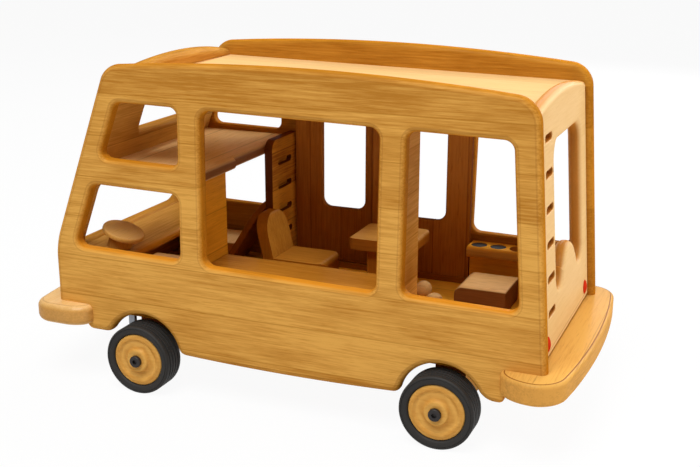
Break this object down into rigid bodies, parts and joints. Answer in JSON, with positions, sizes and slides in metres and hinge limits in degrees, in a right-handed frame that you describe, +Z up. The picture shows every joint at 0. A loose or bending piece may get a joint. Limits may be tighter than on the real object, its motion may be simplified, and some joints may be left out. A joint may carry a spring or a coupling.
{
  "type": "toy camper van",
  "caption": "Wooden toy camper van with arched side panels, window openings, bunk over the cab, sliding far-side doors, loose furniture and rubber-tyred wheels.",
  "frame": {"origin": "on the ground under the middle of the van's box", "axes": "+X to the tail along the van, +Y to the side with the doors, +Z up"},
  "size_m": [0.613, 0.308, 0.3627],
  "materials": {
    "honey_wood": "oiled",
    "pale_wood": "oiled",
    "dark_wood": "oiled",
    "steel": "satin",
    "black_metal": "satin",
    "hob_metal": "satin",
    "red_gloss": "gloss",
    "tyre": "matte"
  },
  "bodies": {
    "van": {"side_left": "honey_wood", "side_right": "honey_wood", "front_panel": "honey_wood", "front_apron": "honey_wood", "floor_board": "honey_wood", "front_bumper": "honey_wood", "rear_bumper": "honey_wood", "cab_wall": "honey_wood", "hanging_wall": "honey_wood", "bench_top": "honey_wood", "bench_front": "honey_wood", "dashboard": "honey_wood", "steering_post": "honey_wood", "kitchen_body": "honey_wood", "worktop": "honey_wood", "track_bottom": "honey_wood", "track_top": "honey_wood", "rear_panel": "pale_wood", "roof": "pale_wood", "driver_seat": "pale_wood", "passenger_seat": "pale_wood", "bunk_deck": "dark_wood", "ladder_wall": "dark_wood", "passenger_back": "dark_wood", "front_crossbeam": "dark_wood", "rear_axle_block": "dark_wood", "hob_discs": "hob_metal", "front_hangers": "steel", "front_axle": "steel", "rear_axle": "steel", "axle_caps": "black_metal", "tail_lights": "red_gloss"},
    "steering": {"steering_wheel": "honey_wood"},
    "front_door": {"door_front": "dark_wood"},
    "rear_door": {"door_rear": "dark_wood"},
    "chair": {"chair_seat": "honey_wood", "chair_back": "honey_wood"},
    "table": {"table_top": "honey_wood", "table_foot": "honey_wood"},
    "block": {"block_seat": "pale_wood"},
    "ball": {"ball": "pale_wood"},
    "peg": {"peg": "pale_wood"},
    "wheel_front_left": {"hub_front_left": "honey_wood", "tyre_front_left": "tyre"},
    "wheel_front_right": {"hub_front_right": "honey_wood", "tyre_front_right": "tyre"},
    "wheel_rear_left": {"hub_rear_left": "honey_wood", "tyre_rear_left": "tyre"},
    "wheel_rear_right": {"hub_rear_right": "honey_wood", "tyre_rear_right": "tyre"}
  },
  "joints": [
    {"name": "wheel_front_left_spin", "type": "hinge", "parent": "van", "child": "wheel_front_left", "pos_m": [-0.1645, -0.128, 0.0385], "axis": [0, 1, 0], "continuous": true},
    {"name": "wheel_front_right_spin", "type": "hinge", "parent": "van", "child": "wheel_front_right", "pos_m": [-0.1645, 0.128, 0.0385], "axis": [0, 1, 0], "continuous": true},
    {"name": "wheel_rear_left_spin", "type": "hinge", "parent": "van", "child": "wheel_rear_left", "pos_m": [0.1745, -0.128, 0.0385], "axis": [0, 1, 0], "continuous": true},
    {"name": "wheel_rear_right_spin", "type": "hinge", "parent": "van", "child": "wheel_rear_right", "pos_m": [0.1745, 0.128, 0.0385], "axis": [0, 1, 0], "continuous": true},
    {"name": "steering_spin", "type": "hinge", "parent": "van", "child": "steering", "pos_m": [-0.21523, -0.08, 0.16028], "axis": [0.342, 0, 0.9397], "continuous": true},
    {"name": "front_door_slide", "type": "slide", "parent": "van", "child": "front_door", "axis": [1, 0, 0], "range_m": [0, 0.1035]},
    {"name": "rear_door_slide", "type": "slide", "parent": "van", "child": "rear_door", "axis": [1, 0, 0], "range_m": [-0.1035, 0]},
    {"name": "chair_lift", "type": "slide", "parent": "van", "child": "chair", "axis": [0, 0, 1], "range_m": [0, 0.05]},
    {"name": "table_lift", "type": "slide", "parent": "van", "child": "table", "axis": [0, 0, 1], "range_m": [0, 0.08]},
    {"name": "block_lift", "type": "slide", "parent": "van", "child": "block", "axis": [0, 0, 1], "range_m": [0, 0.05]},
    {"name": "ball_lift", "type": "slide", "parent": "van", "child": "ball", "axis": [0, 0, 1], "range_m": [0, 0.03]},
    {"name": "peg_lift", "type": "slide", "parent": "van", "child": "peg", "axis": [0, 0, 1], "range_m": [0, 0.04]}
  ]
}
